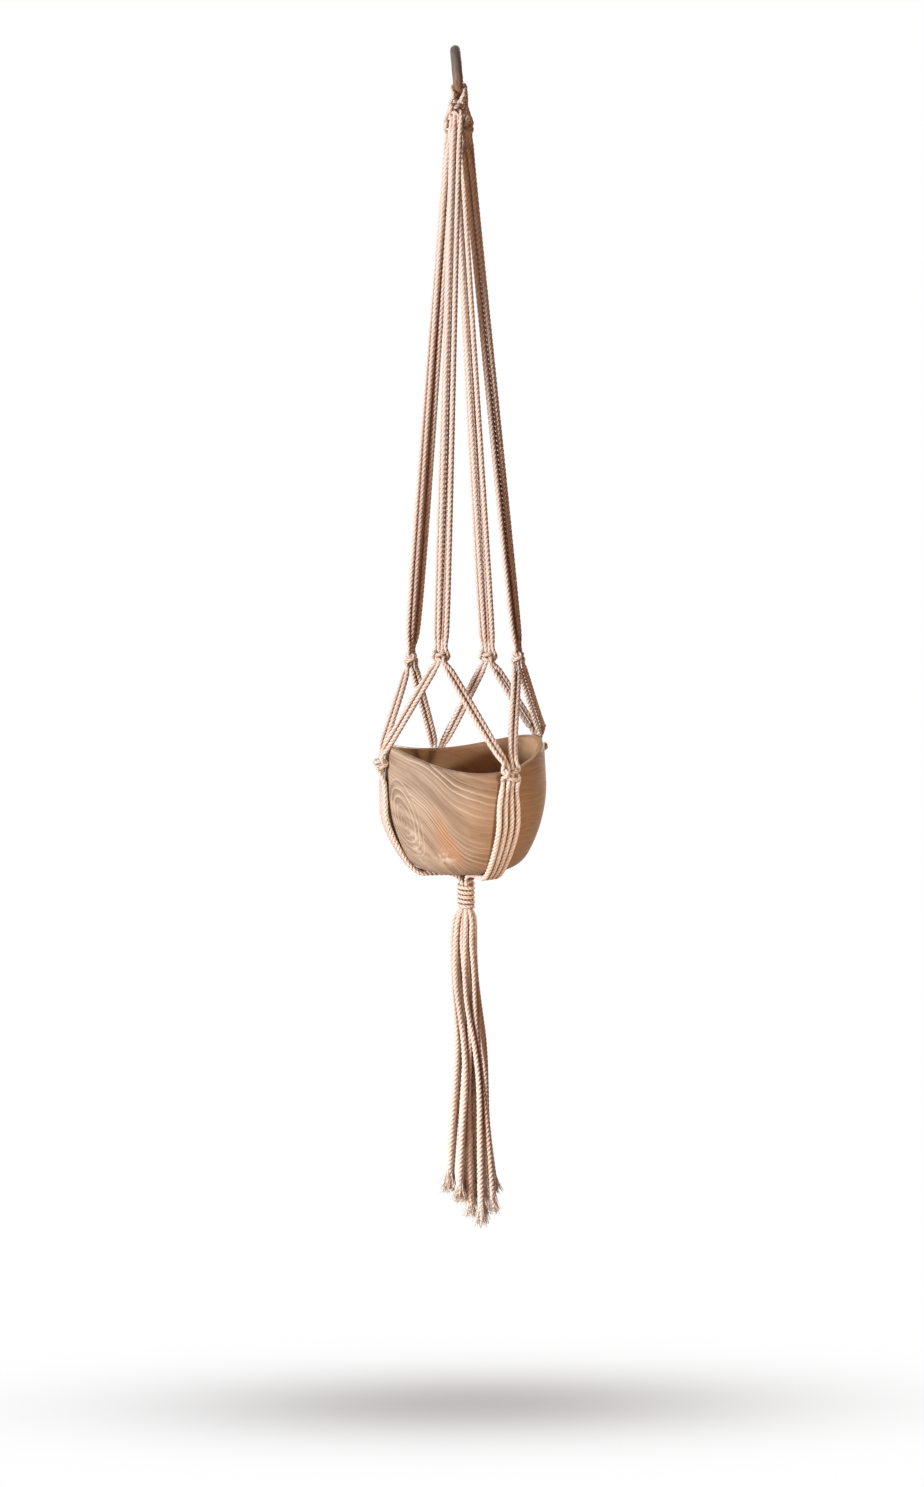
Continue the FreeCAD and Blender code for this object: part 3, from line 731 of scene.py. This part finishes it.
def bowlMaterial(setting):
    material, tree, shader = newMaterial("bowlWood")
    coords = addNode(tree, "ShaderNodeTexCoord").outputs["Object"]
    turn, radius, height = setting["eye"]
    right, out = directions(turn)
    drift = addNode(tree, "ShaderNodeTexNoise", Vector=coords, Scale=16.0, Detail=1.0).outputs["Color"]
    drift = vectorNode(tree, "SUBTRACT", drift, (0.5, 0.5, 0.5))
    place = vectorNode(tree, "MULTIPLY_ADD", drift, (0.014, 0.014, 0.014))
    tree.links.new(coords, place.node.inputs[2])
    place = vectorNode(tree, "SUBTRACT", place, (axisX * mm, 0.0, height * mm))
    place = vectorNode(tree, "MULTIPLY", place, (1000.0, 1000.0, 1000.0))
    beside = vectorNode(tree, "DOT_PRODUCT", place, tuple(right))
    ahead = vectorNode(tree, "DOT_PRODUCT", place, tuple(out))
    above = vectorNode(tree, "DOT_PRODUCT", place, (0.0, 0.0, 1.0))
    angle = mathNode(tree, "ARCTAN2", beside, ahead)
    along = mathNode(tree, "MULTIPLY", angle, radius)
    spoke = vectorNode(tree, "MULTIPLY", place, (1.0, 1.0, 0.0))
    flat = vectorNode(tree, "NORMALIZE", spoke, (0, 0, 0))
    middle = vectorNode(tree, "LENGTH", spoke, (0, 0, 0))
    facing = vectorNode(tree, "DOT_PRODUCT", flat, tuple(directions(setting["sweepTurn"])[1]))
    sweep = mathNode(tree, "EXPONENT", scaled(tree, facing, -setting["sweepSharp"]))
    sweep = mathNode(tree, "DIVIDE", 1.0, mathNode(tree, "ADD", sweep, 1.0))
    oval = setting["oval"]
    lean = math.radians(oval["lean"])
    wide = mathNode(tree, "MULTIPLY_ADD", beside, math.cos(lean), scaled(tree, above, math.sin(lean)))
    tall = mathNode(tree, "MULTIPLY_ADD", beside, -math.sin(lean), scaled(tree, above, math.cos(lean)))
    reach = mathNode(tree, "DIVIDE", wide, oval["size"][0])
    reach = mathNode(tree, "MULTIPLY", reach, reach)
    tall = mathNode(tree, "DIVIDE", tall, oval["size"][1])
    reach = mathNode(tree, "SQRT", mathNode(tree, "MULTIPLY_ADD", tall, tall, reach))
    inside = mathNode(tree, "GREATER_THAN", ahead, 0.0)
    inside = mathNode(tree, "MULTIPLY", mathNode(tree, "LESS_THAN", reach, 1.0), inside)
    level = mathNode(tree, "MULTIPLY_ADD", mathNode(tree, "SUBTRACT", middle, radius), 0.5, above)
    level = mathNode(tree, "MULTIPLY_ADD", sweep, -setting["sweepDrop"], level)
    level = mathNode(tree, "DIVIDE", level, mathNode(tree, "MULTIPLY_ADD", sweep, -setting["sweepFan"], 1.0))
    ripple = noise(tree, coords, 110.0, 2.0)
    rings = mathNode(tree, "DIVIDE", level, setting["spacing"])
    ovals = mathNode(tree, "MULTIPLY_ADD", reach, oval["rings"], 90.0)
    rings = mathNode(tree, "MULTIPLY_ADD", inside, mathNode(tree, "SUBTRACT", ovals, rings), rings)
    rings = mathNode(tree, "MULTIPLY_ADD", ripple, 0.3, rings)
    phase = mathNode(tree, "FRACT", rings)
    number = mathNode(tree, "FLOOR", rings)
    draw = addNode(tree, "ShaderNodeTexWhiteNoise", {"noise_dimensions": "1D"}, W=number)
    figured = mathNode(tree, "ABSOLUTE", mathNode(tree, "SUBTRACT", angle, 0.2))
    figured = mathNode(tree, "MULTIPLY_ADD", between(tree, figured, 1.45, 0.6), 0.85, 0.15)
    strength = mathNode(tree, "MULTIPLY", draw.outputs["Value"], figured)
    strength = mathNode(tree, "POWER", strength, 1.4)
    dark = ramp(tree, phase, [(0.52, grey(0.0)), (0.86, grey(0.75)), (0.93, grey(0.0))])
    bright = ramp(tree, phase, [(0.0, grey(0.95)), (0.13, grey(0.45)), (0.36, grey(0.0)), (0.93, grey(0.0)),
                                (1.0, grey(0.95))])
    cloudSpace = joined(tree, scaled(tree, level, 0.055), scaled(tree, beside, 0.016),
                        scaled(tree, ahead, 0.016))
    cloud = noise(tree, cloudSpace, 1.0, 3.0)
    colour = mixColour(tree, between(tree, cloud, 0.3, 0.7), setting["mid"], setting["pale"])
    normal = addNode(tree, "ShaderNodeNewGeometry").outputs["Normal"]
    outside = between(tree, vectorNode(tree, "DOT_PRODUCT", normal, flat), -0.2, 0.3)
    # the plain right side, in a darker, warmer brown that also paints the shade on that side
    plainAndShade = between(tree, mathNode(tree, "ABSOLUTE", angle), *setting["plainFrom"])
    plainAndShade = mathNode(tree, "MULTIPLY", plainAndShade, outside)
    colour = mixColour(tree, plainAndShade, colour, setting["plainAndShade"])
    # painted shade: the inside of the bowl takes a warmer brown
    hollowShade = mathNode(tree, "MULTIPLY_ADD", outside, -setting["hollowShadeShare"], setting["hollowShadeShare"])
    colour = mixColour(tree, hollowShade, colour, setting["hollowShade"])
    fibreSpace = joined(tree, scaled(tree, level, 0.8), scaled(tree, along, 0.07), scaled(tree, middle, 0.2))
    pores = noise(tree, fibreSpace, 1.0, 3.0)
    fine = ramp(tree, pores, [(0.30, (0.82, 0.78, 0.75)), (0.46, (0.96, 0.95, 0.94)), (0.7, (1.0, 1.0, 1.0))])
    centre = mathNode(tree, "MULTIPLY_ADD", above, -0.30, 42.0)
    half = mathNode(tree, "MULTIPLY_ADD", above, -0.27, 5.0)
    gap = mathNode(tree, "DIVIDE", mathNode(tree, "SUBTRACT", along, centre), half)
    gap = mathNode(tree, "SUBTRACT", mathNode(tree, "ABSOLUTE", gap), 0.45)
    gap = mathNode(tree, "MULTIPLY_ADD", pores, 0.9, gap)
    wedge = mathNode(tree, "MULTIPLY", between(tree, gap, 1.25, 0.5), between(tree, above, 16.0, -4.0))
    wedge = mathNode(tree, "MULTIPLY", wedge, between(tree, above, -50.0, -28.0))
    colour = mixColour(tree, scaled(tree, wedge, setting["wedgeShare"]), colour, setting["wedge"])
    for line, name in ((dark, "line"), (bright, "bright")):
        share = mathNode(tree, "MULTIPLY_ADD", strength, setting[name + "Share"], setting["leastShare"])
        colour = mixColour(tree, mathNode(tree, "MULTIPLY", line, share), colour, setting[name])
    mottle = between(tree, noise(tree, coords, 260.0, 2.0), 0.35, 0.65)
    for spot in (setting["patch"], setting["burl"]):
        light = hump(tree, [(along, spot["at"][0], spot["size"][0]), (above, spot["at"][1], spot["size"][1])])
        light = scaled(tree, mathNode(tree, "MULTIPLY", light, mottle), spot["share"])
        colour = mixColour(tree, light, colour, setting["bright"])
    colour = mixColour(tree, 1.0, colour, fine, "MULTIPLY")
    tree.links.new(colour, shader.inputs["Base Color"])
    gloss = ramp(tree, pores, [(0.3, grey(0.68)), (0.7, grey(0.54))])
    tree.links.new(gloss, shader.inputs["Roughness"])
    shader.inputs["Specular IOR Level"].default_value = setting["specular"]
    relief = mathNode(tree, "MULTIPLY_ADD", phase, -0.2, pores)
    bump = addNode(tree, "ShaderNodeBump", Strength=setting["bump"], Distance=setting["relief"],
                   Height=relief)
    tree.links.new(bump.outputs[0], shader.inputs["Normal"])
    return material


# Ring: bent wood rod, weathered grey-brown above, with painted warm light bounced from the cords towards its
# bottom
ringWood = {
    "grey": (0.18, 0.148, 0.118), "dark": (0.03, 0.023, 0.018), "paintedBounce": (0.31, 0.15, 0.075),
    "fade": (-0.010, -0.030), "grain": (900.0, 160.0, 120.0), "specular": 0.35, "bump": 0.3, "relief": 0.0004,
}


def ringMaterial(setting):
    material, tree, shader = newMaterial("ringWood")
    coords = addNode(tree, "ShaderNodeTexCoord").outputs["Object"]
    lean = addNode(tree, "ShaderNodeMapping", i0=coords, i2=(0.0, ringLean, 0.0), i3=setting["grain"])
    grain = noise(tree, lean.outputs[0], 1.0, 4.0, Roughness=0.6)
    blotch = noise(tree, coords, 140.0, 2.0)
    height = addNode(tree, "ShaderNodeSeparateXYZ", i0=coords).outputs[2]
    high, low = setting["fade"]
    # painted bounce light: warmer towards the bottom of the ring, broken up by blotches
    paintedBounce = addNode(tree, "ShaderNodeMapRange", i0=height, i1=high, i2=low, i3=0.0, i4=1.0).outputs[0]
    paintedBounce = mathNode(tree, "MULTIPLY", paintedBounce, mathNode(tree, "MULTIPLY_ADD", blotch, 0.6, 0.6))
    colour = mixColour(tree, paintedBounce, setting["grey"], setting["paintedBounce"])
    lines = ramp(tree, grain, [(0.32, grey(0.75)), (0.52, grey(0.0))])
    colour = mixColour(tree, lines, colour, setting["dark"])
    tree.links.new(colour, shader.inputs["Base Color"])
    gloss = ramp(tree, grain, [(0.3, grey(0.7)), (0.7, grey(0.5))])
    tree.links.new(gloss, shader.inputs["Roughness"])
    shader.inputs["Specular IOR Level"].default_value = setting["specular"]
    bump = addNode(tree, "ShaderNodeBump", Strength=setting["bump"], Distance=setting["relief"],
                   Height=grain)
    tree.links.new(bump.outputs[0], shader.inputs["Normal"])
    return material


def dressNode(name, material):
    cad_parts[name].material_slots[0].material = material


dressNode("bowl", bowlMaterial(bowlWood))
dressNode("hanging_ring", ringMaterial(ringWood))
print("stage: wood")

# Studio: white surroundings and a pale floor that shows white, apart from a painted shadow under the hanger,
# a soft grey patch in which the floor's real shading also shows.
# The key lamp stands to the left, a weak warm one in front, a broad one behind and a faint one above;
# two small spots reach the cords on the front of the bowl and the tassel.
studio = {
    "fill": (1.0, 0.40, 0.20), "fillLevel": 0.08,
    "floor": -1.215, "floorReach": 6.0, "floorShadowGrey": (0.55, 0.57, 0.58), "floorBounce": (0.42, 0.24, 0.15),
    "patch": {"at": (0.0, -0.008), "size": (0.285, 0.076), "depth": 0.88},
}
lamps = {
    "key": {"kind": "AREA", "at": (-2.15, -1.45, -0.3), "aim": (0.0, 0.0, -0.55), "size": 0.5,
            "power": 82.0, "colour": (0.96, 1.0, 1.06)},
    "front": {"kind": "AREA", "at": (-0.35, -2.6, -0.3), "aim": (0.0, 0.0, -0.55), "size": 0.5,
              "power": 9.0, "colour": (1.0, 0.60, 0.40)},
    "back": {"kind": "AREA", "at": (1.1, 2.2, 0.0), "aim": (0.0, 0.0, -0.6), "size": 1.2,
             "power": 70.0, "colour": (1.0, 0.94, 0.88)},
    "top": {"kind": "AREA", "at": (0.1, -0.3, 1.5), "aim": (0.0, 0.0, -1.2), "size": 1.8,
            "power": 3.0, "colour": (1.0, 0.92, 0.84)},
    "bowl": {"kind": "SPOT", "at": (0.85, -1.35, -0.35), "aim": (0.04, -0.07, -0.668), "size": 0.07,
             "power": 92.0, "colour": (1.0, 0.88, 0.74), "cone": 8.0},
    "tassel": {"kind": "SPOT", "at": (-1.5, -1.3, -0.75), "aim": (-0.005, 0.0, -0.97), "size": 0.07,
               "power": 75.0, "colour": (1.0, 0.94, 0.90), "cone": 11.0},
}


def addLamp(name, setting):
    lamp = bpy.data.lights.new(name, setting["kind"])
    if setting["kind"] == "AREA":
        lamp.shape = "DISK"
        lamp.size = setting["size"]
    else:
        lamp.shadow_soft_size = setting["size"]
        lamp.spot_size = math.radians(setting["cone"])
        lamp.spot_blend = 1.0
    lamp.energy = setting["power"]
    lamp.color = setting["colour"]
    holder = bpy.data.objects.new(name, lamp)
    scene.collection.objects.link(holder)
    holder.location = setting["at"]
    way = Vector(setting["aim"]) - Vector(setting["at"])
    holder.rotation_mode = "QUATERNION"
    holder.rotation_quaternion = way.to_track_quat("-Z", "Y")


def seenDirectly(tree):
    path = addNode(tree, "ShaderNodeLightPath").outputs
    seen = mathNode(tree, "MAXIMUM", path["Is Camera Ray"], path["Is Glossy Ray"])
    return mathNode(tree, "MAXIMUM", seen, path["Is Transmission Ray"])


def addStudio():
    world = bpy.data.worlds.new("studio")
    scene.world = world
    world.use_nodes = True
    tree = world.node_tree
    light = tree.nodes["Background"]
    light.inputs["Color"].default_value = (*studio["fill"], 1.0)
    light.inputs["Strength"].default_value = studio["fillLevel"]
    white = addNode(tree, "ShaderNodeBackground", Color=(1, 1, 1, 1), Strength=1.0)
    seen = seenDirectly(tree)
    mix = addNode(tree, "ShaderNodeMixShader", i0=seen, i1=light.outputs[0], i2=white.outputs[0])
    tree.links.new(mix.outputs[0], tree.nodes["World Output"].inputs[0])
    mesh = bpy.data.meshes.new("floor")
    reach = studio["floorReach"]
    edge = [(-reach, -reach, 0), (reach, -reach, 0), (reach, reach, 0), (-reach, reach, 0)]
    mesh.from_pydata(edge, [], [(0, 1, 2, 3)])
    floor = bpy.data.objects.new("floor", mesh)
    floor.location = (0, 0, studio["floor"])
    scene.collection.objects.link(floor)
    material, tree, shader = newMaterial("floorShadowGrey")
    coords = addNode(tree, "ShaderNodeTexCoord").outputs["Object"]
    grain = ramp(tree, noise(tree, coords, 9.0, 2.0), [(0.3, grey(0.97)), (0.7, grey(1.0))])
    seen = seenDirectly(tree)
    # the grey floor colour, seen by the camera only inside the painted shadow
    colour = mixColour(tree, seen, studio["floorBounce"], studio["floorShadowGrey"])
    colour = mixColour(tree, 1.0, colour, grain, "MULTIPLY")
    tree.links.new(colour, shader.inputs["Base Color"])
    shader.inputs["Roughness"].default_value = 1.0
    shader.inputs["Specular IOR Level"].default_value = 0.0
    flat = addNode(tree, "ShaderNodeSeparateXYZ", i0=coords).outputs
    # painted shadow: a soft patch under the hanger where the grey floor colour shows through the white glow
    patch = studio["patch"]
    paintedShadow = hump(tree, [(flat[k], patch["at"][k], patch["size"][k]) for k in range(2)])
    glow = addNode(tree, "ShaderNodeEmission", Color=(1, 1, 1, 1), Strength=1.0)
    share = mathNode(tree, "MULTIPLY", mathNode(tree, "MULTIPLY_ADD", paintedShadow, -patch["depth"], 1.0), seen)
    mix = addNode(tree, "ShaderNodeMixShader", i0=share, i1=shader.outputs[0], i2=glow.outputs[0])
    tree.links.new(mix.outputs[0], tree.nodes["Material Output"].inputs[0])
    mesh.materials.append(material)
    for name, lamp in lamps.items():
        addLamp(name, lamp)


addStudio()
print("stage: studio")
